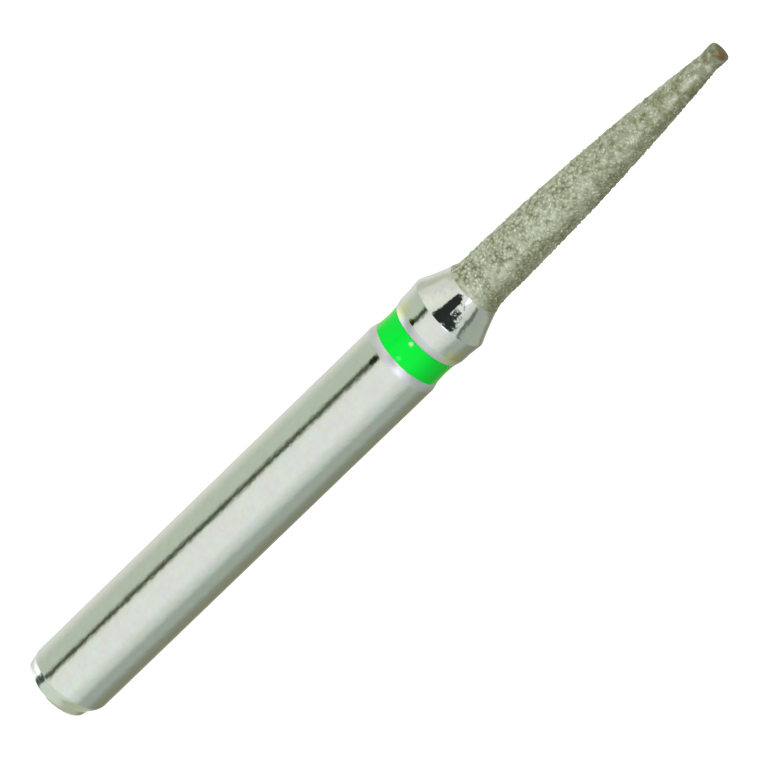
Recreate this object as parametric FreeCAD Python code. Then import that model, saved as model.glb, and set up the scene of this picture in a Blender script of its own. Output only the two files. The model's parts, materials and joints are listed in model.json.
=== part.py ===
import FreeCAD, Part

import math
import os

# A friction-grip dental bur, in millimetres, upright with its shank down.
# The origin is on the shank's axis at its end, and +Z runs along the bur to its tip.
# It has three pieces: the turned steel blank, the diamond grit plated on its
# tapered working end, and the colour band in the groove above the shank.

# Shank, gripped by the handpiece's chuck
shank_diameter = 1.60
shank_length = 9.035
# End of the shank: a shoulder down to a short spigot, both turned off centre,
# towards -X and by the bearing in degrees round to -Y
spigot_base_diameter = 1.432
spigot_end_diameter = 1.360
spigot_length = 0.21
spigot_offset = 0.075
spigot_bearing = 40.0
spigot_edge_rounding = 0.06
shoulder_angle = 35.0
# Groove for the colour band, with a shallow bevel at each rim
groove_width = 0.515
groove_floor_diameter = 1.20
rim_bevel_length = 0.15
rim_bevel_depth = 0.04
# Colour band, which fills the groove to a little below its rims
band_thickness = 0.15
band_hollow = 0.012
# Collar between the groove and the neck, widening a little and then flaring to a sharp edge
collar_length = 0.215
collar_diameter = 1.612
collar_flare_length = 0.25
collar_edge_diameter = 1.655
# Neck cone from the collar's edge to the working end, blended into it
neck_length = 0.72
neck_blend_radius = 1.5
# Working end: a short straight root, then a taper with convex sides
root_diameter = 1.066
root_length = 0.32
taper_length = 5.76
taper_bulge = 0.073
waist_diameter = 0.406
# Flared rim at the tip
rim_diameter = 0.437
rim_flare_length = 0.20
rim_length = 0.12
rim_rounding = 0.05
# Diamond grit, and how far down the neck it starts before the root
grit_thickness = 0.10
grit_lap = 0.065

# Places that follow from the sizes above
shank_radius = shank_diameter / 2
shoulder_slope = 1 / math.tan(math.radians(shoulder_angle))
shank_start = spigot_length + (shank_radius + spigot_offset - spigot_base_diameter / 2) * shoulder_slope
shank_end = shank_start + shank_length
groove_start = shank_end + rim_bevel_length
groove_end = groove_start + groove_width
collar_start = groove_end + rim_bevel_length
flare_start = collar_start + collar_length
collar_edge = flare_start + collar_flare_length
root_start = collar_edge + neck_length
taper_start = root_start + root_length
waist = taper_start + taper_length
rim_start = waist + rim_flare_length
tip = rim_start + rim_length
grit_start = root_start - grit_lap
# How far a cutting form reaches past what it cuts
overreach = shank_diameter


class Corner:
    """A point of a turned outline, with its rounding and the bulge of the side that follows it."""

    def __init__(self, radius, height, rounding=0.0, bulge=0.0):
        self.place = FreeCAD.Vector(radius, 0, height)
        self.rounding = rounding
        self.bulge = bulge


def side_room(corner, neighbour):
    """How much of the side between two corners the first one's rounding may take."""
    length = (neighbour.place - corner.place).Length
    return length / 2 if neighbour.rounding > 0 else length


def rounding_arc(before, corner, after):
    """The start, middle and end of the arc at a corner, which are one point where it is sharp."""
    if corner.rounding == 0:
        return corner.place, corner.place, corner.place
    to_before = (before.place - corner.place).normalize()
    to_after = (after.place - corner.place).normalize()
    half_angle = to_before.getAngle(to_after) / 2
    room = min(side_room(corner, before), side_room(corner, after))
    reach = min(corner.rounding / math.tan(half_angle), room)
    radius = reach * math.tan(half_angle)
    inward = (to_before + to_after).normalize()
    middle = corner.place + inward * (radius / math.sin(half_angle) - radius)
    return corner.place + to_before * reach, middle, corner.place + to_after * reach


def side_edge(start, end, bulge):
    """A straight side, or an arc whose middle stands out from the straight line by the bulge."""
    if bulge == 0:
        return Part.LineSegment(start, end).toShape()
    along = (end - start).normalize()
    outward = FreeCAD.Vector(along.z, 0, -along.x)
    return Part.Arc(start, (start + end) / 2 + outward * bulge, end).toShape()


def turned(corners):
    """The solid that a closed outline sweeps in a full turn about Z."""
    arcs = []
    for index, corner in enumerate(corners):
        after = corners[(index + 1) % len(corners)]
        arcs.append(rounding_arc(corners[index - 1], corner, after))
    edges = []
    for index, (start, middle, end) in enumerate(arcs):
        if start != end:
            edges.append(Part.Arc(start, middle, end).toShape())
        next_start = arcs[(index + 1) % len(arcs)][0]
        if (next_start - end).Length > Part.Precision.confusion():
            edges.append(side_edge(end, next_start, corners[index].bulge))
    face = Part.Face(Part.Wire(edges))
    return face.revolve(FreeCAD.Vector(0, 0, 0), FreeCAD.Vector(0, 0, 1), 360)


def shank_outline():
    """The shank and the open groove above it, up to where the collar flares."""
    floor_radius = groove_floor_diameter / 2
    rim_radius = shank_radius - rim_bevel_depth
    return [
        Corner(0, 0),
        Corner(shank_radius, 0),
        Corner(shank_radius, shank_end),
        Corner(rim_radius, groove_start),
        Corner(floor_radius, groove_start),
        Corner(floor_radius, groove_end),
        Corner(rim_radius, groove_end),
        Corner(shank_radius, collar_start),
    ]


def head_outline():
    """The collar's flare, the neck and the gritted working end, up to the axis at the tip."""
    return [
        Corner(collar_diameter / 2, flare_start),
        Corner(collar_edge_diameter / 2, collar_edge),
        Corner(root_diameter / 2, root_start, rounding=neck_blend_radius),
        Corner(root_diameter / 2, taper_start, bulge=taper_bulge),
        Corner(waist_diameter / 2, waist),
        Corner(rim_diameter / 2, rim_start),
        Corner(rim_diameter / 2, tip, rounding=rim_rounding),
        Corner(0, tip),
    ]


def shank_end_form():
    """The off-centre space that the shank's end is turned to, open above its shoulder."""
    outside = shank_radius + overreach
    form = turned(
        [
            Corner(0, 0),
            Corner(spigot_end_diameter / 2, 0, rounding=spigot_edge_rounding),
            Corner(spigot_base_diameter / 2, spigot_length),
            Corner(outside, spigot_length + (outside - spigot_base_diameter / 2) * shoulder_slope),
            Corner(outside, tip + overreach),
            Corner(0, tip + overreach),
        ]
    )
    bearing = math.radians(spigot_bearing)
    form.translate(FreeCAD.Vector(-math.cos(bearing), -math.sin(bearing), 0) * spigot_offset)
    return form


def grit_space():
    """The space around the steel core that the grit fills, open at its tip and outwards."""
    core_root = root_diameter / 2 - grit_thickness
    core_tip = waist_diameter / 2 - grit_thickness
    outside = core_root + overreach
    return turned(
        [
            Corner(core_root, grit_start),
            Corner(outside, grit_start),
            Corner(outside, tip + overreach),
            Corner(core_tip, tip + overreach),
            Corner(core_tip, waist, bulge=-taper_bulge),
            Corner(core_root, taper_start),
        ]
    )


def colour_band():
    """The enamel ring on the groove's floor, with a surface a little hollow between its edges."""
    floor_radius = groove_floor_diameter / 2
    surface_radius = floor_radius + band_thickness
    return turned(
        [
            Corner(floor_radius, groove_start),
            Corner(surface_radius, groove_start, bulge=-band_hollow),
            Corner(surface_radius, groove_end),
            Corner(floor_radius, groove_end),
        ]
    )


def save(shape, name):
    """Writes one piece as a STEP file and prints its size."""
    box = shape.optimalBoundingBox(False)
    shape.exportStep("parts/%s.step" % name)
    print("%s: %d solid, valid %s, %.4f mm3" % (name, len(shape.Solids), shape.isValid(), shape.Volume))
    print("    Z %.3f to %.3f, X %.4f to %.4f" % (box.ZMin, box.ZMax, box.XMin, box.XMax))


os.makedirs("parts", exist_ok=True)
body = turned(shank_outline() + head_outline()).common(shank_end_form())
save(body.cut(grit_space()), "steel_blank")
save(body.common(grit_space()), "diamond_grit")
save(colour_band(), "colour_band")
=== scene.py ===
# %% [markdown]
# # A diamond dental bur
# A bur is a tiny cutter that a dentist's handpiece spins by its shank. This one is a bar of
# turned steel under 18 mm long. Its tapered end is plated with diamond grit, and a green
# enamel band in a groove tells how coarse that grit is. The lesson dresses the fixed CAD
# frame: first the camera and the studio, then the steel, the enamel and the grit.

import json
import math
import random

import bmesh
import bpy
from mathutils import Matrix, Vector


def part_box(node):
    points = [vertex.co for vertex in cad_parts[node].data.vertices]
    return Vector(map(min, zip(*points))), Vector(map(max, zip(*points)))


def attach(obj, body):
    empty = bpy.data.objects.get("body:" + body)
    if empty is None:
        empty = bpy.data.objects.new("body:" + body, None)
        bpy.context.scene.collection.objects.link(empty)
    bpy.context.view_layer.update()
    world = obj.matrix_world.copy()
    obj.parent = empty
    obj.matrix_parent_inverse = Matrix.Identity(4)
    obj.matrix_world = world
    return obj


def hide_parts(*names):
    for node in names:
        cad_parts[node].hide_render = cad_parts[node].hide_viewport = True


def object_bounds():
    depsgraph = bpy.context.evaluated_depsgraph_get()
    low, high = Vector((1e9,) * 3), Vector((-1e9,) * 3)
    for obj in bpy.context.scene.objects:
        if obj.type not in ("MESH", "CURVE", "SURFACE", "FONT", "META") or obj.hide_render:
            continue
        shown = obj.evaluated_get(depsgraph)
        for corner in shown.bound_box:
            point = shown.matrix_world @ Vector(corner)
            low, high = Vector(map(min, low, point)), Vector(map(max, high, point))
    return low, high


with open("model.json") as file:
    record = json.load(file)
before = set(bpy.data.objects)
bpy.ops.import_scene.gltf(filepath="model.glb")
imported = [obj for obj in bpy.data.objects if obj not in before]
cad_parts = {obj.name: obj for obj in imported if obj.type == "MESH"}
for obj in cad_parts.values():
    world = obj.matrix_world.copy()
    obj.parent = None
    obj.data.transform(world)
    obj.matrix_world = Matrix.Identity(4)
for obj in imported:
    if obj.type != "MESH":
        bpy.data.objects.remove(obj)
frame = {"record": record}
cad_low, cad_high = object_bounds()
MM = 0.001
print("CAD box in mm:", [round(side / MM, 3) for side in cad_high - cad_low])

# %% [markdown]
# ## The camera
# The bur stands upright in its frame, but in the picture it points up and to the right, with
# its tip leaning towards us. Tipping the bur would move it out of its frame, so the camera
# does the work instead: it looks down by the angle of the lean, and then rolls about its own
# line of sight. A long lens from close by gives the picture's slight growth towards the tip.

# %% Set up the camera
VIEW_DISTANCE = 134.6 * MM
VIEW_ELEVATION = math.radians(20.5)
VIEW_ROLL = math.radians(45.98)
VIEW_TARGET = Vector((0.104, 0.0, 8.874)) * MM
VIEW_WIDTH = 13.964 * MM
SENSOR_WIDTH = 36.0

to_camera = Vector((0.0, -math.cos(VIEW_ELEVATION), math.sin(VIEW_ELEVATION)))
camera_data = bpy.data.cameras.new("camera")
camera_data.sensor_width = SENSOR_WIDTH
camera_data.lens = SENSOR_WIDTH * VIEW_DISTANCE / VIEW_WIDTH
camera_data.clip_start = VIEW_DISTANCE / 10
camera_data.clip_end = VIEW_DISTANCE * 100
camera = bpy.data.objects.new("camera", camera_data)
camera.rotation_mode = "QUATERNION"
camera.location = VIEW_TARGET + to_camera * VIEW_DISTANCE
looking = (-to_camera).to_track_quat("-Z", "Y")
camera.rotation_quaternion = looking @ Matrix.Rotation(VIEW_ROLL, 3, "Z").to_quaternion()
bpy.context.scene.collection.objects.link(camera)
bpy.context.scene.camera = camera
print("lens in mm:", round(camera_data.lens, 1))

# %% [markdown]
# ## Nodes in a few words
# Every finish here is a small graph of shader nodes. A helper adds a node, sets its values and
# plugs in its links, so that each material below reads as a short list of what it is made of.
# The other helpers are the few nodes that come up again and again: sums, soft edges, blends,
# noise and bump.


# %% Helpers for node graphs
def add_node(tree, kind, inputs=None, **settings):
    """Adds a node. An input may be a value, or another node's output, which is linked to it."""
    node = tree.nodes.new(kind)
    for setting, value in settings.items():
        setattr(node, setting, value)
    for name, value in (inputs or {}).items():
        if isinstance(value, bpy.types.NodeSocket):
            tree.links.new(value, node.inputs[name])
        else:
            node.inputs[name].default_value = value
    return node


def calculate(tree, operation, first, second=0.0, third=0.0):
    """One sum on numbers, as the output of a Math node."""
    inputs = {0: first, 1: second, 2: third}
    return add_node(tree, "ShaderNodeMath", inputs, operation=operation).outputs[0]


def calculate_vector(tree, operation, *inputs):
    """One sum on vectors, as the outputs of a Vector Math node."""
    return add_node(tree, "ShaderNodeVectorMath", dict(enumerate(inputs)), operation=operation).outputs


def blend_colours(tree, share, first, second):
    """A mix of two colours, all of the second where the share is 1."""
    SHARE, FIRST, SECOND = 0, 6, 7
    inputs = {SHARE: share, FIRST: first, SECOND: second}
    return add_node(tree, "ShaderNodeMix", inputs, data_type="RGBA").outputs[2]


# %% Helpers for soft edges
def soft_step(tree, value, start, end):
    """Rises smoothly from 0 to 1 as the value goes from start to end."""
    inputs = {"Value": value, "From Min": start, "From Max": end}
    node = add_node(tree, "ShaderNodeMapRange", inputs, interpolation_type="SMOOTHSTEP")
    return node.outputs["Result"]


def past(tree, value, edge, blur):
    """0 below an edge and 1 above it, with a soft change that reaches the blur each way."""
    return soft_step(tree, value, edge - blur, edge + blur)


def short_of(tree, value, edge, blur):
    """1 below an edge and 0 above it, with a soft change that reaches the blur each way."""
    return soft_step(tree, value, edge + blur, edge - blur)


def away_from(tree, value, place):
    """How far a number is from a place, on either side of it."""
    return calculate(tree, "ABSOLUTE", calculate(tree, "SUBTRACT", value, place))


# %% Helpers for noise, bump and a finished surface
def noise(tree, place, scale, detail, roughness=0.5):
    """Cloudy noise at a place. Its outputs are one number, and a colour of three more."""
    inputs = {"Vector": place, "Scale": scale, "Detail": detail, "Roughness": roughness}
    return add_node(tree, "ShaderNodeTexNoise", inputs).outputs


def bump(tree, relief, distance, under=None):
    """The slopes that a relief gives a surface, on top of an earlier bump where there is one."""
    inputs = {"Height": relief, "Distance": distance}
    if under is not None:
        inputs["Normal"] = under
    return add_node(tree, "ShaderNodeBump", inputs).outputs[0]


def new_material(name):
    """An empty node material, with its output node."""
    material = bpy.data.materials.new(name)
    material.use_nodes = True
    material.node_tree.nodes.clear()
    return material, material.node_tree, add_node(material.node_tree, "ShaderNodeOutputMaterial")


def coat(tree, output, values):
    """Finishes a material with one Principled shader."""
    surface = add_node(tree, "ShaderNodeBsdfPrincipled", values)
    tree.links.new(surface.outputs[0], output.inputs["Surface"])


# %% [markdown]
# ## The studio
# Polished steel has no look of its own: it shows what stands around it. A photographer lights
# such a small pin inside a ring of white and grey cards. Cards could be planes, but the bur is
# so small beside them that only their direction counts, so the ring is painted into the world
# by direction. Places in it are in degrees: the compass runs from the camera towards +X, and
# the height from level upwards.

# %% Paint the ring of cards into the world
WHITE_CARD = (0.92, 0.945, 0.92, 1)
CREAM_EDGE = (0.84, 0.88, 0.76, 1)
GREY_CARD = (0.575, 0.65, 0.54, 1)
GREY_EDGE = (0.70, 0.74, 0.65, 1)
PALE_SIDE = (0.79, 0.81, 0.75, 1)
WHITE_EDGE = (0.67, 0.73, 0.68, 1)
SHADED_CARD = (0.41, 0.47, 0.41, 1)
OLIVE_EDGE = (0.29, 0.315, 0.255, 1)
OLIVE_CORNER = (0.26, 0.27, 0.19, 1)
PALE_BACK = (0.80, 0.82, 0.76, 1)
RING = (
    (-180, PALE_BACK),
    (-133, PALE_SIDE),
    (-118, GREY_EDGE),
    (-100, GREY_CARD),
    (-56, GREY_CARD),
    (-46, CREAM_EDGE),
    (-20, WHITE_CARD),
    (26, WHITE_CARD),
    (54, WHITE_EDGE),
    (70, SHADED_CARD),
    (92, SHADED_CARD),
    (109, OLIVE_EDGE),
    (130, OLIVE_CORNER),
    (150, OLIVE_CORNER),
    (180, PALE_BACK),
)
FULL_TURN = 360

world = bpy.data.worlds.new("studio")
world.use_nodes = True
bpy.context.scene.world = world
studio = world.node_tree
studio.nodes.clear()
direction = add_node(studio, "ShaderNodeTexCoord").outputs["Generated"]
parts = add_node(studio, "ShaderNodeSeparateXYZ", {0: direction}).outputs
towards_camera = calculate(studio, "MULTIPLY", parts["Y"], -1.0)
compass = calculate(studio, "DEGREES", calculate(studio, "ARCTAN2", parts["X"], towards_camera))
height = calculate(studio, "DEGREES", calculate(studio, "ARCSINE", parts["Z"]))

along_ring = calculate(studio, "MULTIPLY_ADD", compass, 1 / FULL_TURN, 0.5)
ring = add_node(studio, "ShaderNodeValToRGB", {0: along_ring})
stops = ring.color_ramp.elements
while len(stops) < len(RING):
    stops.new(0.5)
for stop, (bearing, colour) in zip(stops, RING):
    stop.position = bearing / FULL_TURN + 0.5
    stop.color = colour
seen = ring.outputs[0]
print("cards in the ring:", len(RING))

# %% [markdown]
# The neck and the rims face further up than the shank, so they show what stands above level.
# There the ceiling closes the ring, a pale card hangs over the grey one, and greyer cards stand
# at both sides. A narrow slot is left open to the right of the lens.

# %% Hang the higher cards and the ceiling
CEILING = (0.95, 0.97, 0.97, 1)
UPPER_CARD = (0.80, 0.82, 0.75, 1)
HIGH_CARD = (0.92, 0.96, 0.87, 1)
HIGH_EDGE = (0.60, 0.63, 0.54, 1)
HIGH_SIDE = (0.44, 0.48, 0.41, 1)
SLOT_SHADE = (0.16, 0.20, 0.16, 1)
CEILING_EDGE = 53.5
UPPER_EDGE, UPPER_RIGHT = 4.5, -51.0
HIGH_CARD_EDGE, HIGH_CARD_RIGHT = 16.5, -43.0
ABOVE_LEVEL = -2.0
FAR_LEFT, FAR_RIGHT = -105.0, 94.0
HIGH_SIDE_TOP = 45.0
SLOT_PLACE = 62.0
SLOT_HALF_WIDTH = 6.0
SLOT_SILL = 6.0
RAGGED = 8.0


def paint(under, colour, *shares):
    """Lays a colour over the studio where all of the shares are high."""
    share = shares[0]
    for other in shares[1:]:
        share = calculate(studio, "MULTIPLY", share, other)
    return blend_colours(studio, share, under, colour)


clutter = noise(studio, direction, 9.0, 3.0)[0]
wander = calculate(studio, "MULTIPLY_ADD", clutter, RAGGED * 2, -RAGGED)
ragged_compass = calculate(studio, "ADD", compass, wander)
ragged_height = calculate(studio, "ADD", height, wander)

seen = paint(seen, CEILING, past(studio, height, CEILING_EDGE, 7.5))
over_grey_card = past(studio, height, UPPER_EDGE, 4.5)
seen = paint(seen, UPPER_CARD, over_grey_card, short_of(studio, compass, UPPER_RIGHT, 5.0))
high_up = past(studio, height, HIGH_CARD_EDGE, 3.5)
seen = paint(seen, HIGH_CARD, high_up, short_of(studio, compass, HIGH_CARD_RIGHT, 7.0))
above_level = past(studio, height, ABOVE_LEVEL, 4.0)
seen = paint(seen, HIGH_EDGE, above_level, short_of(studio, compass, FAR_LEFT, 7.0))
below_top = short_of(studio, height, HIGH_SIDE_TOP, 5.0)
seen = paint(seen, HIGH_SIDE, above_level, below_top, past(studio, compass, FAR_RIGHT, 10.0))
in_slot = short_of(studio, away_from(studio, ragged_compass, SLOT_PLACE), SLOT_HALF_WIDTH, 4.0)
seen = paint(seen, SLOT_SHADE, in_slot, past(studio, height, SLOT_SILL, 4.0))
print("studio nodes with the higher cards:", len(studio.nodes))

# %% [markdown]
# The dark line down the shank is a thin gap between two cards on the left, which ends just
# below level. The black patch on the neck is the dark room behind the camera. It shows over a
# ragged sill of clutter, which steps down on its left.

# %% Open the gap and the dark room
DARK_GAP = (0.07, 0.09, 0.052, 1)
DARK_ROOM = (0.024, 0.031, 0.03, 1)
GAP_PLACE = -48.7
GAP_HALF_WIDTH = 7.5
GAP_BLUR = 6.5
GAP_TOP = -5.0
ROOM_LEFT = -29.0
ROOM_RIGHT = 44.0
ROOM_SILL = 22.0
ROOM_TOP = 46.0
NOTCH_RIGHT = -1.0
NOTCH_SILL = 13.0

off_gap = away_from(studio, compass, GAP_PLACE)
in_gap = short_of(studio, off_gap, GAP_HALF_WIDTH, GAP_BLUR)
seen = paint(seen, DARK_GAP, in_gap, short_of(studio, height, GAP_TOP, 5.0))

in_notch = short_of(studio, ragged_compass, NOTCH_RIGHT, 3.0)
sill = calculate(studio, "MULTIPLY_ADD", in_notch, NOTCH_SILL - ROOM_SILL, ROOM_SILL)
over_sill = calculate(studio, "SUBTRACT", ragged_height, sill)
seen = paint(
    seen,
    DARK_ROOM,
    past(studio, compass, ROOM_LEFT, 3.0),
    short_of(studio, ragged_compass, ROOM_RIGHT, 5.0),
    past(studio, over_sill, 0.0, 1.5),
    short_of(studio, height, ROOM_TOP, 3.0),
)
print("studio nodes with the dark room:", len(studio.nodes))

# %% [markdown]
# Below the cards lies the pale top of the table, with the dark foot of a stand on it and a
# bright glare at the far left, which only the rounded end of the shank is turned far enough
# down to show. A small bright window beside the lens gives the glints on the rims.

# %% Lay the table and open the window
TABLE_TOP = (0.74, 0.82, 0.71, 1)
TABLE_GLARE = (1.35, 1.45, 1.45, 1)
TABLE_SHADE = (0.50, 0.54, 0.42, 1)
DARK_FOOT = (0.06, 0.085, 0.08, 1)
WINDOW = (3.6, 3.7, 3.9, 1)
TABLE_EDGE = -34.0
GLARE_EDGE = -80.0
SHADE_EDGE = 55.0
FOOT_PLACE = -65.0
FOOT_HALF_WIDTH = 13.0
WINDOW_PLACE = 18.0
WINDOW_HEIGHT = 6.0
WINDOW_RADIUS = 8.0

table = paint(TABLE_TOP, TABLE_GLARE, short_of(studio, compass, GLARE_EDGE, 4.0))
table = paint(table, TABLE_SHADE, past(studio, compass, SHADE_EDGE, 25.0))
off_foot = away_from(studio, compass, FOOT_PLACE)
table = paint(table, DARK_FOOT, short_of(studio, off_foot, FOOT_HALF_WIDTH, 4.0))
seen = paint(seen, table, short_of(studio, height, TABLE_EDGE, 5.0))

aside = calculate(studio, "SUBTRACT", compass, WINDOW_PLACE)
above = calculate(studio, "SUBTRACT", height, WINDOW_HEIGHT)
above_squared = calculate(studio, "MULTIPLY", above, above)
off_window = calculate(studio, "SQRT", calculate(studio, "MULTIPLY_ADD", aside, aside, above_squared))
seen = paint(seen, WINDOW, short_of(studio, off_window, WINDOW_RADIUS, 3.0))
print("studio nodes with the table and window:", len(studio.nodes))

# %% [markdown]
# The camera, and a ray that passes through something clear, see plain white. Reflections see
# the ring instead: its white cards are the white of the background, and without its grey and
# dark ones the steel would be a blank white shape.

# %% Choose what each kind of ray sees
WORLD_MAP_WIDTH = 1024

cards = add_node(studio, "ShaderNodeBackground", {"Color": seen})
backdrop = add_node(studio, "ShaderNodeBackground", {"Color": (1, 1, 1, 1)})
ray = add_node(studio, "ShaderNodeLightPath").outputs
straight = calculate(studio, "MAXIMUM", ray["Is Camera Ray"], ray["Is Transmission Ray"])
either = add_node(studio, "ShaderNodeMixShader", {0: straight, 1: cards.outputs[0], 2: backdrop.outputs[0]})
add_node(studio, "ShaderNodeOutputWorld", {"Surface": either.outputs[0]})
world.cycles.sampling_method = "MANUAL"
world.cycles.sample_map_resolution = WORLD_MAP_WIDTH
print("studio nodes:", len(studio.nodes))

# %% [markdown]
# A lamp beside the camera adds the small bright glints on the grit and gives the bur its soft
# shadow. Lamps in a studio are large beside a bur, so this one is a disc, not a point.

# %% Hang the key lamp
LAMP_BEARING = math.radians(14.0)
LAMP_ELEVATION = math.radians(48.0)
LAMP_DISTANCE = 250 * MM
LAMP_SIZE = 40 * MM
LAMP_WATTS = 0.17

lamp_data = bpy.data.lights.new("key_lamp", "AREA")
lamp_data.shape = "DISK"
lamp_data.size = LAMP_SIZE
lamp_data.energy = LAMP_WATTS
lamp = bpy.data.objects.new("key_lamp", lamp_data)
to_lamp = Vector(
    (
        math.sin(LAMP_BEARING) * math.cos(LAMP_ELEVATION),
        -math.cos(LAMP_BEARING) * math.cos(LAMP_ELEVATION),
        math.sin(LAMP_ELEVATION),
    )
)
lamp.location = VIEW_TARGET + to_lamp * LAMP_DISTANCE
lamp.rotation_euler = (-to_lamp).to_track_quat("-Z", "Y").to_euler()
bpy.context.scene.collection.objects.link(lamp)
print("lamp at, in mm:", [round(side / MM) for side in lamp.location])

# %% [markdown]
# The floor is a white disc under the bur. It glows for the camera alone, so that it meets the
# white surround with no edge and still takes the bur's shadow. Mirrors look past it to the
# ring of cards.

# %% Lay the floor
FLOOR_RADIUS = 3.0
FLOOR_COLOUR = (0.8, 0.8, 0.8, 1)
FLOOR_GLOW = 0.62


def new_piece(name, bm, materials):
    """An object at the origin that holds a bmesh, with its materials."""
    mesh = bpy.data.meshes.new(name)
    bm.to_mesh(mesh)
    bm.free()
    piece = bpy.data.objects.new(name, mesh)
    bpy.context.scene.collection.objects.link(piece)
    for material in materials:
        mesh.materials.append(material)
    return piece


floor_finish, tree, output = new_material("white_floor")
ray = add_node(tree, "ShaderNodeLightPath").outputs
matt = add_node(tree, "ShaderNodeBsdfDiffuse", {"Color": FLOOR_COLOUR})
glow = calculate(tree, "MULTIPLY", ray["Is Camera Ray"], FLOOR_GLOW)
shining = add_node(tree, "ShaderNodeEmission", {"Strength": glow})
matt_and_shining = add_node(tree, "ShaderNodeAddShader", {0: matt.outputs[0], 1: shining.outputs[0]})
tree.links.new(matt_and_shining.outputs[0], output.inputs["Surface"])

bm = bmesh.new()
bmesh.ops.create_circle(bm, cap_ends=True, radius=FLOOR_RADIUS, segments=64)
floor = new_piece("floor", bm, [floor_finish])
floor.visible_glossy = False
print("floor radius in m:", FLOOR_RADIUS)

# %% [markdown]
# ## The outline of the bur
# Everything on a bur is turned, so one outline holds its whole form. The shank, the band and
# the ends of the grit come from the frame. The steps between them are written in millimetres,
# as on the maker's drawing.

# %% Read the turned sizes
grip = next(mount for mount in frame["record"]["mounts"] if mount["name"] == "shank_grip")
shank_radius = grip["dims"]["r_mm"] * MM
band_low, band_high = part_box("colour_band")
grit_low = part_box("diamond_grit")[0]
tip = cad_high.z
collar_edge_radius = cad_high.x

RIM_LENGTH = 0.15 * MM
RIM_DEPTH = 0.04 * MM
BAND_THICKNESS = 0.15 * MM
COLLAR_LENGTH = 0.215 * MM
COLLAR_RADIUS = 0.806 * MM
FLARE_LENGTH = 0.25 * MM
NECK_LENGTH = 0.72 * MM
ROOT_RADIUS = 0.533 * MM
ROOT_LENGTH = 0.32 * MM
WAIST_RADIUS = 0.203 * MM
END_RIM_RADIUS = 0.2185 * MM
END_RIM_FLARE = 0.20 * MM
END_RIM_LENGTH = 0.12 * MM
GRIT_THICKNESS = 0.10 * MM

groove_start, groove_end = band_low.z, band_high.z
groove_floor_radius = band_high.x - BAND_THICKNESS
rim_radius = shank_radius - RIM_DEPTH
collar_start = groove_end + RIM_LENGTH
flare_start = collar_start + COLLAR_LENGTH
collar_edge = flare_start + FLARE_LENGTH
root_start = collar_edge + NECK_LENGTH
taper_start = root_start + ROOT_LENGTH
waist = tip - END_RIM_LENGTH - END_RIM_FLARE
core_root = ROOT_RADIUS - GRIT_THICKNESS
core_tip = WAIST_RADIUS - GRIT_THICKNESS
print("collar edge at", round(collar_edge / MM, 3), "mm, tip at", round(tip / MM, 3), "mm")


# %% Helpers for round stretches of an outline
def rounded(before, corner, after, radius, steps):
    """Points of the arc that rounds a corner. Each point is a radius and a height."""
    corner = Vector(corner)
    to_before = (Vector(before) - corner).normalized()
    to_after = (Vector(after) - corner).normalized()
    half_angle = to_before.angle(to_after) / 2
    centre = corner + (to_before + to_after).normalized() * (radius / math.sin(half_angle))
    reach = radius / math.tan(half_angle)
    first = (corner + to_before * reach - centre).normalized()
    last = (corner + to_after * reach - centre).normalized()
    return [centre + first.slerp(last, step / steps) * radius for step in range(steps + 1)]


def bulging(start, end, bulge, steps):
    """Points of a long flat arc from start to end that stands out by the bulge at its middle."""
    start, end = Vector(start), Vector(end)
    along = (end - start).normalized()
    outward = Vector((along.y, -along.x))
    shares = [step / steps for step in range(steps + 1)]
    return [start.lerp(end, share) + outward * (4 * bulge * share * (1 - share)) for share in shares]


def radius_at(outline, height):
    """The outline's radius at a height, for an outline that only climbs."""
    for below, above in zip(outline, outline[1:]):
        if below[1] <= height <= above[1] and above[1] > below[1]:
            share = (height - below[1]) / (above[1] - below[1])
            return below[0] + (above[0] - below[0]) * share
    return outline[-1][0]


# %% Draw the head's outline, from the collar's edge to the tip
NECK_BLEND = 1.5 * MM
NECK_HOLLOW = 0.005 * MM
TAPER_BULGE = 0.073 * MM
END_RIM_ROUNDING = 0.05 * MM

collar_edge_corner = (collar_edge_radius, collar_edge)
root_corner = (ROOT_RADIUS, root_start)
taper_corner = (ROOT_RADIUS, taper_start)
end_rim_corner = (END_RIM_RADIUS, tip - END_RIM_LENGTH)

blend = rounded(collar_edge_corner, root_corner, taper_corner, NECK_BLEND, 12)
head = bulging(collar_edge_corner, blend[0], -NECK_HOLLOW, 8) + blend[1:]
head += bulging(taper_corner, (WAIST_RADIUS, waist), TAPER_BULGE, 48)
head += [Vector(end_rim_corner)]
head += rounded(end_rim_corner, (END_RIM_RADIUS, tip), (0, tip), END_RIM_ROUNDING, 5)
print("points in the head's outline:", len(head))

# %% [markdown]
# ## Steel
# The shank is ground while it turns, which leaves fine marks running round it. They are far
# smaller than a pixel and soften each reflection. A noise stretched round the axis gives the
# marks, and a bump turns them into slopes. Broader waves under them make the dark line ragged,
# and a cloudy tint keeps the metal from looking new. The collar and neck are polished after
# turning, so their marks are fainter and their mirror sharper. Small dark spots are painted
# where the reflected dark line meets the rims, a painted reflection, and oil has yellowed the
# steel beside the band.

# %% A helper for stains, flecks, and painted dark spots and glints
SPOT_CORE = 0.35
SPOT_NUDGE = 1.3
SPOT_UNEVENNESS = 1.1


def near(tree, place, spot, radius):
    """Falls softly from 1 to 0 around a point, out to about the radius, with an uneven edge."""
    uneven = noise(tree, place, SPOT_UNEVENNESS / radius, 3.0)["Color"]
    nudge = calculate_vector(tree, "ADD", uneven, (-0.5, -0.5, -0.5))[0]
    reach = radius * SPOT_NUDGE
    moved = calculate_vector(tree, "MULTIPLY_ADD", nudge, (reach, reach, reach), place)[0]
    away = calculate_vector(tree, "DISTANCE", moved, spot)["Value"]
    return soft_step(tree, away, radius, radius * SPOT_CORE)


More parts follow.
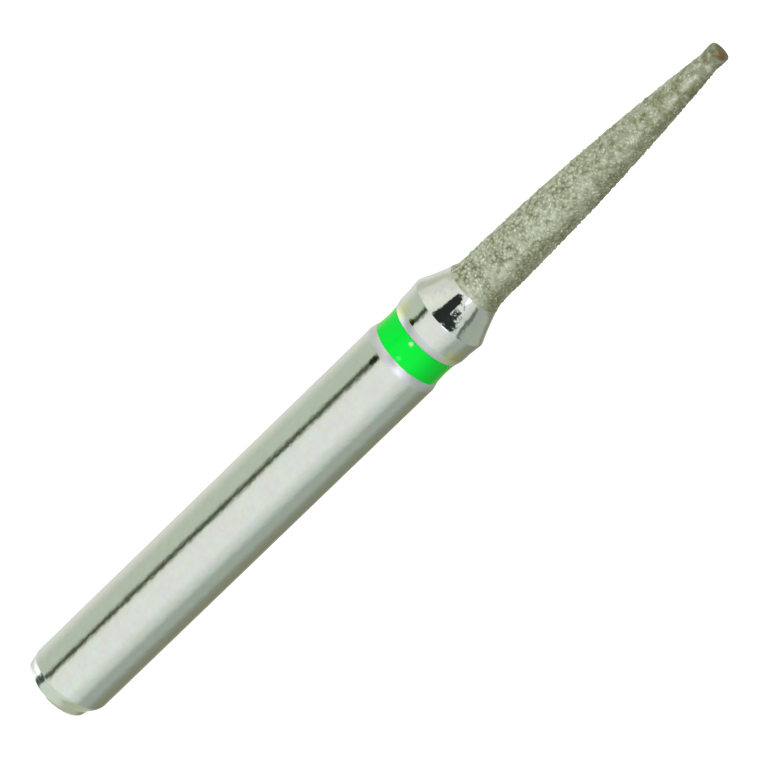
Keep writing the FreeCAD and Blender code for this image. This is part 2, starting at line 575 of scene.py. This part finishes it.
def spotted(tree, place, colour, spots):
    """Adds spots to a colour. Each is a point in mm, a radius in mm and a tint."""
    for spot, radius, tint in spots:
        colour = blend_colours(tree, near(tree, place, Vector(spot) * MM, radius * MM), colour, tint)
    return colour


# %% A helper for bright steel
MARK_STRETCH = (1 / (0.9 * MM), 1 / (0.9 * MM), 1 / (0.03 * MM))
OLD_STEEL = (0.88, 0.90, 0.76)
MOTTLE = 0.21


def steel(name, colour, roughness, mark_height, wave_height, wave_length, stain, spots):
    """Bright steel with fine marks round the Z axis, faint waves, a stained tint and spots."""
    material, tree, output = new_material(name)
    place = add_node(tree, "ShaderNodeTexCoord").outputs["Object"]
    stretched = add_node(tree, "ShaderNodeMapping", {"Vector": place, "Scale": MARK_STRETCH}).outputs[0]
    marks = bump(tree, noise(tree, stretched, 1.0, 2.0)[0], mark_height)
    waves = bump(tree, noise(tree, place, 1 / wave_length, 2.0)[0], wave_height, marks)
    cloud = noise(tree, place, 5200.0, 5.0, 0.75)
    share = calculate(tree, "MULTIPLY", soft_step(tree, cloud[0], 0.35, 0.75), stain)
    aged = [bright * old for bright, old in zip(colour, OLD_STEEL)]
    shade = blend_colours(tree, share, (*colour, 1), (*aged, 1))
    shade = blend_colours(tree, MOTTLE, shade, cloud["Color"])
    shade = spotted(tree, place, shade, spots)
    coat(tree, output, {"Base Color": shade, "Metallic": 1.0, "Roughness": roughness, "Normal": waves})
    return material


# %% Make the steel finishes
STEEL_WHITE = (0.83, 0.85, 0.82)
LILAC_STEEL = (0.86, 0.85, 0.93)
# Painted reflection: dark spots where the reflected dark line meets the rims, on the shank and the collar.
PAINTED_LINE_DARK = (0.12, 0.115, 0.05, 1)
YELLOWED = (0.82, 0.83, 0.52, 1)
SHANK_LINE_ENDS = (
    ((-0.335, -0.726, 9.36), 0.095, PAINTED_LINE_DARK),
    ((-0.345, -0.722, 9.27), 0.075, PAINTED_LINE_DARK),
)
COLLAR_STAINS = (
    ((-0.64, -0.50, 10.30), 0.24, YELLOWED),
    ((0.66, -0.48, 10.34), 0.26, YELLOWED),
)
COLLAR_LINE_END = ((-0.354, -0.722, 10.36), 0.085, PAINTED_LINE_DARK)

ground_steel = steel(
    "ground_steel",
    STEEL_WHITE,
    roughness=0.12,
    mark_height=0.6e-3 * MM,
    wave_height=4.0e-3 * MM,
    wave_length=0.13 * MM,
    stain=0.5,
    spots=SHANK_LINE_ENDS,
)
polished_steel = steel(
    "polished_steel",
    STEEL_WHITE,
    roughness=0.06,
    mark_height=0.2e-3 * MM,
    wave_height=6.0e-3 * MM,
    wave_length=0.16 * MM,
    stain=0.4,
    spots=(COLLAR_LINE_END, *COLLAR_STAINS),
)
bevelled_rim = steel(
    "bevelled_rim",
    LILAC_STEEL,
    roughness=0.42,
    mark_height=0.2e-3 * MM,
    wave_height=2.0e-3 * MM,
    wave_length=0.15 * MM,
    stain=0.2,
    spots=COLLAR_STAINS,
)
print("steel finishes:", ground_steel.name, polished_steel.name, bevelled_rim.name)

# %% [markdown]
# The brown end of the core, bare at the tip, is tarnished steel: rough, dark and patchy.

# %% Make the tarnish
BURNT_PLACE = Vector((0.06, -0.13, tip / MM + 0.01)) * MM
BURNT_BROWN = (0.2, 0.118, 0.056, 1)
TARNISH_PALE = (0.17, 0.13, 0.065, 1)
TARNISH_DARK = (0.11, 0.10, 0.05, 1)

tarnished_steel, tree, output = new_material("tarnished_steel")
place = add_node(tree, "ShaderNodeTexCoord").outputs["Object"]
patches = noise(tree, place, 14000.0, 3.0)[0]
brown = blend_colours(tree, patches, TARNISH_PALE, TARNISH_DARK)
brown = blend_colours(tree, near(tree, place, BURNT_PLACE, 0.2 * MM), brown, BURNT_BROWN)
pitted = bump(tree, patches, 8e-3 * MM)
coat(tree, output, {"Base Color": brown, "Metallic": 0.2, "Roughness": 0.6, "Normal": pitted})
print("tarnish nodes:", len(tree.nodes))

# %% [markdown]
# ## The turned blank
# The outline becomes a solid with one Spin, as a lathe would make it. Real edges are never
# razor sharp, so the Bevel operator breaks them by a few hundredths of a millimetre, and
# those tiny rounds catch the light.

# %% Helpers to spin an outline and to break an edge
SPIN_STEPS = 256
MERGE = 1e-5 * MM


def spun(outline, steps=SPIN_STEPS):
    """A bmesh that an outline of radius and height points sweeps in a full turn."""
    bm = bmesh.new()
    points = [bm.verts.new((radius, 0.0, height)) for radius, height in outline]
    for below, above in zip(points, points[1:]):
        bm.edges.new((below, above))
    bmesh.ops.spin(
        bm,
        geom=bm.verts[:] + bm.edges[:],
        cent=(0, 0, 0),
        axis=(0, 0, 1),
        angle=math.tau,
        steps=steps,
        use_merge=True,
    )
    bmesh.ops.remove_doubles(bm, verts=bm.verts, dist=MERGE)
    bmesh.ops.recalc_face_normals(bm, faces=bm.faces)
    return bm


def ring_edges(bm, radius, height):
    """The edges of the ring at one radius and height."""
    def on_ring(vert):
        off_height = abs(vert.co.z - height)
        return max(off_height, abs(vert.co.xy.length - radius)) < MERGE * 10
    return [edge for edge in bm.edges if all(on_ring(vert) for vert in edge.verts)]


def break_edge(bm, radius, height, size, segments):
    """Rounds the edge of one ring."""
    bmesh.ops.bevel(
        bm,
        geom=ring_edges(bm, radius, height),
        offset=size,
        offset_type="OFFSET",
        segments=segments,
        profile=0.5,
        affect="EDGES",
        clamp_overlap=True,
        material=-1,
    )


# %% [markdown]
# The shank ends in a short spigot under a sloping shoulder. The shoulder is drawn well past
# the shank's radius here, because the whole end is moved off centre after the spin.

# %% Draw the blank's outline and spin it
SPIGOT_BASE_RADIUS = 0.716 * MM
SPIGOT_END_RADIUS = 0.680 * MM
SPIGOT_LENGTH = 0.21 * MM
SPIGOT_OFFSET = 0.075 * MM
SPIGOT_ROUNDING = 0.11 * MM
SPIGOT_HOLLOW = 0.25 * MM
SHOULDER_SLOPE = 1 / math.tan(math.radians(35.0))
SHOULDER_BLEND = 0.06 * MM
SHOULDER_STEPS = 16

end_corner = (SPIGOT_END_RADIUS, 0)
base_corner = (SPIGOT_BASE_RADIUS, SPIGOT_LENGTH)
shoulder_reach = shank_radius + SPIGOT_OFFSET + SHOULDER_BLEND
shoulder_rise = (shoulder_reach - SPIGOT_BASE_RADIUS) * SHOULDER_SLOPE
shoulder_top = Vector((shoulder_reach, SPIGOT_LENGTH + shoulder_rise))
shank_foot = rounded((0, 0), end_corner, base_corner, SPIGOT_ROUNDING, 8)
shank_foot += rounded(end_corner, base_corner, shoulder_top, SPIGOT_HOLLOW, 4)
shoulder_foot = shank_foot[-1]
for step in range(1, SHOULDER_STEPS + 1):
    shank_foot.append(shoulder_foot.lerp(shoulder_top, step / SHOULDER_STEPS))

grit_start = grit_low.z
grit_start_radius = radius_at(head, grit_start)
neck = [point for point in head if point[1] < grit_start - MERGE]
blank_outline = [
    (0, 0),
    *shank_foot,
    (shank_radius, groove_start - RIM_LENGTH),
    (rim_radius, groove_start),
    (groove_floor_radius, groove_start),
    (groove_floor_radius, groove_end),
    (rim_radius, groove_end),
    (shank_radius, collar_start),
    (COLLAR_RADIUS, flare_start),
    *neck,
    (grit_start_radius, grit_start),
    (core_root, grit_start),
    (core_root, taper_start),
    (core_tip, waist),
    (core_tip, tip),
    (0, tip),
]
bm = spun(blank_outline)
print("blank faces before its edges are broken:", len(bm.faces))

# %% [markdown]
# The rings of the end are moved over, and every point that then stands outside the shank is
# drawn in to the shank's radius. The draw starts a little early, so the shoulder runs into the
# shank's wall with no edge, as if tumbled smooth.

# %% Shift the end spigot off centre
SPIGOT_BEARING = math.radians(40.0)

spigot_axis = Vector((-math.cos(SPIGOT_BEARING), -math.sin(SPIGOT_BEARING))) * SPIGOT_OFFSET


def soft_least(first, second, width):
    """The smaller of two numbers, with a smooth turn from one to the other."""
    share = min(1.0, max(0.0, 0.5 + (second - first) / (2 * width)))
    return second + (first - second) * share - width * share * (1 - share)


end_verts = [vert for vert in bm.verts if vert.co.z < shoulder_top.y + MERGE]
for vert in end_verts:
    vert.co.xy += spigot_axis
    radius = vert.co.xy.length
    if radius > MERGE:
        vert.co.xy *= soft_least(radius, shank_radius, SHOULDER_BLEND) / radius
print("points moved off centre:", len(end_verts))

# %% Break the edges of the blank
for radius, height, size, segments in (
    (shank_radius, groove_start - RIM_LENGTH, 0.05 * MM, 4),
    (rim_radius, groove_start, 0.02 * MM, 3),
    (rim_radius, groove_end, 0.02 * MM, 3),
    (shank_radius, collar_start, 0.05 * MM, 4),
    (collar_edge_radius, collar_edge, 0.012 * MM, 3),
):
    break_edge(bm, radius, height, size, segments)
print("blank faces with its edges broken:", len(bm.faces))

# %% Give each stretch its finish and shade it
GROUND, POLISHED, RIMS, TARNISHED = range(4)
RIM_REACH = RIM_LENGTH * 1.2
SHARP_ANGLE = math.radians(14.0)


def smooth_all_but(piece, angle):
    """Shades a piece smooth, apart from edges sharper than the angle."""
    piece.data.shade_smooth()
    piece.data.set_sharp_from_angle(angle=angle)


for face in bm.faces:
    height = face.calc_center_median().z
    if groove_start - RIM_REACH < height < groove_end + RIM_REACH:
        face.material_index = RIMS
    elif height > tip - MERGE:
        face.material_index = TARNISHED
    elif height > groove_end:
        face.material_index = POLISHED
    else:
        face.material_index = GROUND
bmesh.ops.recalc_face_normals(bm, faces=bm.faces)

blank = new_piece("turned_blank", bm, [ground_steel, polished_steel, bevelled_rim, tarnished_steel])
smooth_all_but(blank, SHARP_ANGLE)
weights = blank.modifiers.new("flat_faces_lead", "WEIGHTED_NORMAL")
weights.keep_sharp = True
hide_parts("steel_blank")
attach(blank, "root")
print("turned blank:", len(blank.data.polygons), "faces")

# %% [markdown]
# ## The colour band
# The band is enamel run into the groove while the blank turns, so it creeps up both walls and
# dries a little hollow. A glossy green with faint mottling makes it. Its green darkens towards
# the right, a painted shade. The coat has yellowed at both ends, and it carries a painted glint,
# as a white fleck, and a paler smudge.

# %% Make the green enamel
FRESH_GREEN = (0.0, 1.0, 0.055, 1)
DULL_GREEN = (0.0, 0.92, 0.05, 1)
SHADED_GREEN = (0.0, 0.52, 0.03, 1)
YELLOWED_ENAMEL = (0.56, 0.68, 0.20, 1)
GREEN_SHADE_REACH = (0.08 * MM, 0.78 * MM)
BAND_ENDS = (0.66 * MM, 0.765 * MM)
YELLOWING = 0.33
# The first fleck is a painted glint, a white highlight on the band; the second is a paler smudge.
ENAMEL_GLINT_AND_SMUDGE = (
    ((-0.075, -0.746, 10.06), 0.055, (0.6, 1.0, 0.62, 1)),
    ((-0.05, -0.748, 9.69), 0.07, (0.08, 1.0, 0.15, 1)),
)

enamel, tree, output = new_material("green_enamel")
place = add_node(tree, "ShaderNodeTexCoord").outputs["Object"]
mottle = noise(tree, place, 3000.0, 2.0)[0]
green = blend_colours(tree, mottle, FRESH_GREEN, DULL_GREEN)
sideways = add_node(tree, "ShaderNodeSeparateXYZ", {0: place}).outputs["X"]
# Painted shade: the green darkens towards +X, the side that is in shade.
green = blend_colours(tree, soft_step(tree, sideways, *GREEN_SHADE_REACH), green, SHADED_GREEN)
off_middle = away_from(tree, sideways, 0.0)
at_ends = calculate(tree, "MULTIPLY", soft_step(tree, off_middle, *BAND_ENDS), YELLOWING)
green = blend_colours(tree, at_ends, green, YELLOWED_ENAMEL)
green = spotted(tree, place, green, ENAMEL_GLINT_AND_SMUDGE)
ripple = bump(tree, mottle, 2e-3 * MM)
coat(tree, output, {"Base Color": green, "Roughness": 0.18, "Normal": ripple, "Specular IOR Level": 0.12})
print("enamel nodes:", len(tree.nodes))

# %% Spin the band
BAND_EDGE_RADIUS = 0.757 * MM
BAND_HOLLOW = 0.015 * MM

hollow = bulging((BAND_EDGE_RADIUS, groove_start), (BAND_EDGE_RADIUS, groove_end), -BAND_HOLLOW, 10)
floor_low = (groove_floor_radius, groove_start)
floor_high = (groove_floor_radius, groove_end)
bm = spun([floor_low, *hollow, floor_high, floor_low])
band = new_piece("green_band", bm, [enamel])
smooth_all_but(band, SHARP_ANGLE)
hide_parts("colour_band")
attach(band, "root")
print("green band:", len(band.data.polygons), "faces")

# %% [markdown]
# ## The grit
# Diamond grains lie on the core in one layer, and plated nickel locks them in, so only their
# tops stand out. The plating is spun from the same outline, a little inside it. Both share one
# kind of finish, dull and patchy: its right side is darkened olive, a painted shade, ground
# tooth and oil have stained it olive in patches and in blots towards the tip, pale dust lies on
# the rest, and the rim at the tip is burnt.

# %% A helper for painted shade, stains, dust and burns
OLIVE_STAIN_AND_SHADE = (0.235, 0.225, 0.12, 1)
PALE_DUST = (0.76, 0.805, 0.70, 1)
BURNT_RING = (0.16, 0.15, 0.085, 1)
SHADED_SIDE = (1.0, -0.1, 0.0)
SIDE_SHADE = 0.63
PATCH_STAIN = 0.4
DUST = 0.35
UPHILL = (13.5 * MM, 17.0 * MM)
UPHILL_STAIN = 0.25
BLOTTING = 0.42
RING_REACH = 0.29 * MM
BURN_REACH = 0.17 * MM


def weathered(tree, place, colour):
    """A colour with a painted shade on its +X side, and the stains, dust and burns of a used head, over it.
    """
    flat = calculate_vector(tree, "MULTIPLY", place, (1, 1, 0))[0]
    outward = calculate_vector(tree, "NORMALIZE", flat)[0]
    # Painted shade: the side that faces +X is darkened olive.
    facing = calculate_vector(tree, "DOT_PRODUCT", outward, SHADED_SIDE)["Value"]
    side_shade = calculate(tree, "MULTIPLY", soft_step(tree, facing, 0.24, 0.84), SIDE_SHADE)
    patchy = soft_step(tree, noise(tree, place, 5000.0, 2.0)[0], 0.55, 0.8)
    stain_and_shade = calculate(tree, "MAXIMUM", side_shade, calculate(tree, "MULTIPLY", patchy, PATCH_STAIN))
    colour = blend_colours(tree, stain_and_shade, colour, OLIVE_STAIN_AND_SHADE)
    dusty = soft_step(tree, noise(tree, place, 2600.0, 1.0)[0], 0.45, 0.7)
    colour = blend_colours(tree, calculate(tree, "MULTIPLY", dusty, DUST), colour, PALE_DUST)

    tall = add_node(tree, "ShaderNodeSeparateXYZ", {0: place}).outputs["Z"]
    uphill = soft_step(tree, tall, *UPHILL)
    greasier = calculate(tree, "MULTIPLY", uphill, UPHILL_STAIN)
    colour = blend_colours(tree, greasier, colour, OLIVE_STAIN_AND_SHADE)
    blots = noise(tree, place, 6500.0, 1.0)[0]
    for start, end, tint in ((0.52, 0.36, OLIVE_STAIN_AND_SHADE), (0.50, 0.66, PALE_DUST)):
        strength = calculate(tree, "MULTIPLY", soft_step(tree, blots, start, end), uphill)
        colour = blend_colours(tree, calculate(tree, "MULTIPLY", strength, BLOTTING), colour, tint)
    at_rim = near(tree, place, Vector((0, 0, tip)), RING_REACH)
    colour = blend_colours(tree, at_rim, colour, BURNT_RING)
    return blend_colours(tree, near(tree, place, BURNT_PLACE, BURN_REACH), colour, BURNT_BROWN)


# %% Make the finishes of the nickel and the grains
NICKEL_DARK = (0.24, 0.245, 0.15, 1)
NICKEL_LIGHT = (0.62, 0.65, 0.49, 1)
GRAIN_DARK = (0.405, 0.42, 0.295, 1)
GRAIN_LIGHT = (0.755, 0.805, 0.665, 1)
OWN_TONE = 0.32


def gritty(name, dark, light, roughness, metallic, tone=None):
    """Dull metal in patches of dark and light, which a face attribute called tone may shift."""
    material, tree, output = new_material(name)
    place = add_node(tree, "ShaderNodeTexCoord").outputs["Object"]
    share = soft_step(tree, noise(tree, place, 11000.0, 3.0)[0], 0.3, 0.7)
    if tone:
        own = add_node(tree, "ShaderNodeAttribute", attribute_name=tone).outputs["Fac"]
        patches = calculate(tree, "MULTIPLY", share, 1 - OWN_TONE)
        share = calculate(tree, "MULTIPLY_ADD", own, OWN_TONE, patches)
    colour = weathered(tree, place, blend_colours(tree, share, dark, light))
    rough = bump(tree, noise(tree, place, 60000.0, 2.0)[0], 4e-3 * MM)
    coat(tree, output, {"Base Color": colour, "Metallic": metallic, "Roughness": roughness, "Normal": rough})
    return material


plated_nickel = gritty("plated_nickel", NICKEL_DARK, NICKEL_LIGHT, roughness=0.5, metallic=0.75)
diamond_grains = gritty(
    "diamond_grains", GRAIN_DARK, GRAIN_LIGHT, roughness=0.55, metallic=0.7, tone="tone"
)
print("finishes of the head:", plated_nickel.name, diamond_grains.name)

# %% Spin the plating
PLATING_DEPTH = 0.022 * MM
PLATING_STEPS = 160
LEAD_IN = 0.1 * MM
THIN_FROM = 1.0 * MM

plating_top = tip - PLATING_DEPTH / 2
plating = [(core_root, grit_start), (grit_start_radius - PLATING_DEPTH * 0.2, grit_start)]
for radius, height in head:
    if height > grit_start + MERGE:
        leading_in = (height - grit_start) / LEAD_IN
        thinning = max(0.5, (waist - height) / THIN_FROM)
        plating.append((radius - PLATING_DEPTH * min(1.0, leading_in, thinning), min(height, plating_top)))
plating += [(core_tip, plating_top), (core_tip, waist), (core_root, taper_start), plating[0]]
bm = spun(plating, PLATING_STEPS)
nickel = new_piece("nickel_plating", bm, [plated_nickel])
smooth_all_but(nickel, SHARP_ANGLE * 3)
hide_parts("diamond_grit")
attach(nickel, "root")
print("nickel plating:", len(nickel.data.polygons), "faces")

# %% [markdown]
# The grains are chunks of a few faces, each a turned and resized copy of one of a dozen rough
# shapes. They settle by chance but pack evenly. Steps of the golden angle up the head place
# them without rows, each step as high as one grain's share of the surface needs, and a small
# seeded nudge hides the spiral. Towards the thin tip they are smaller and closer.

# %% Make a dozen shapes of grain
GRAIN_SHAPES = 12
GRAIN_RADIUS = 0.052 * MM
chance = random.Random(7)


def grain_shape():
    """A chunk of twenty faces, with its corners pushed in and out by chance."""
    bm = bmesh.new()
    bmesh.ops.create_icosphere(bm, subdivisions=1, radius=GRAIN_RADIUS)
    for vert in bm.verts:
        vert.co *= chance.uniform(0.78, 1.12)
    mesh = bpy.data.meshes.new("grain_shape")
    bm.to_mesh(mesh)
    bm.free()
    return mesh


shapes = [grain_shape() for _ in range(GRAIN_SHAPES)]
print("shapes of grain:", len(shapes))

# %% A helper to place one grain
GRAIN_STAND = 0.016 * MM
SMALLEST = 0.62


def add_grain(bm, bearing, height):
    """Sets one grain, turned by chance, into the surface of the head."""
    surface_radius = radius_at(head, height)
    size = chance.uniform(0.75, 1.15) * (SMALLEST + (1 - SMALLEST) * surface_radius / ROOT_RADIUS)
    sunk = surface_radius - GRAIN_RADIUS * size + GRAIN_STAND * chance.uniform(-0.4, 0.5)
    place = Vector((math.cos(bearing) * sunk, math.sin(bearing) * sunk, height))
    axis = Vector((chance.gauss(0, 1), chance.gauss(0, 1), 1))
    turned = Matrix.Rotation(chance.uniform(0, math.tau), 4, axis)
    first = len(bm.verts)
    bm.from_mesh(chance.choice(shapes))
    bm.verts.ensure_lookup_table()
    chunk = bm.verts[first:]
    bmesh.ops.transform(bm, matrix=Matrix.Translation(place) @ turned @ Matrix.Scale(size, 4), verts=chunk)


# %% Choose a place for each grain
GOLDEN_ANGLE = math.pi * (3 - math.sqrt(5))
GRAIN_PITCH = 0.080 * MM
GRAIN_SHARE = 0.866
CLOSEST = 0.6
NUDGE = 0.3

places = []
height = grit_start - GRAIN_PITCH * 0.2
turn = 0.0
while height < tip - END_RIM_ROUNDING - GRAIN_RADIUS * 0.4:
    radius = radius_at(head, height)
    bearing = turn + chance.gauss(0, NUDGE) * GRAIN_PITCH / radius
    places.append((bearing, height + chance.gauss(0, NUDGE) * GRAIN_PITCH * 0.5))
    turn += GOLDEN_ANGLE
    closer = CLOSEST + (1 - CLOSEST) * radius / ROOT_RADIUS
    height += (GRAIN_PITCH * closer) ** 2 * GRAIN_SHARE / (math.tau * radius)
print("grains:", len(places))

# %% [markdown]
# Adding to a mesh takes longer the larger it is, so the grains are set in batches, and each
# full batch joins the rest in one go. Every grain gets a tone of its own by chance, which the
# finish above reads.

# %% Set the grains
BATCH = 60

grains = bmesh.new()
for first in range(0, len(places), BATCH):
    batch = bmesh.new()
    for bearing, height in places[first : first + BATCH]:
        add_grain(batch, bearing, height)
    gathered = bpy.data.meshes.new("gathered_grains")
    batch.to_mesh(gathered)
    batch.free()
    grains.from_mesh(gathered)
    bpy.data.meshes.remove(gathered)

grit = new_piece("diamond_grains", grains, [diamond_grains])
tones = [chance.random() for _ in places]
faces_each = len(grit.data.polygons) // len(tones)
tone = grit.data.attributes.new("tone", "FLOAT", "FACE")
tone.data.foreach_set("value", [value for value in tones for _ in range(faces_each)])
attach(grit, "root")
print("grain faces:", len(grit.data.polygons))

# %% [markdown]
# Standard keeps the colours as they are written.

# %% Finish
bpy.context.scene.view_settings.view_transform = "Standard"
bpy.context.view_layer.update()
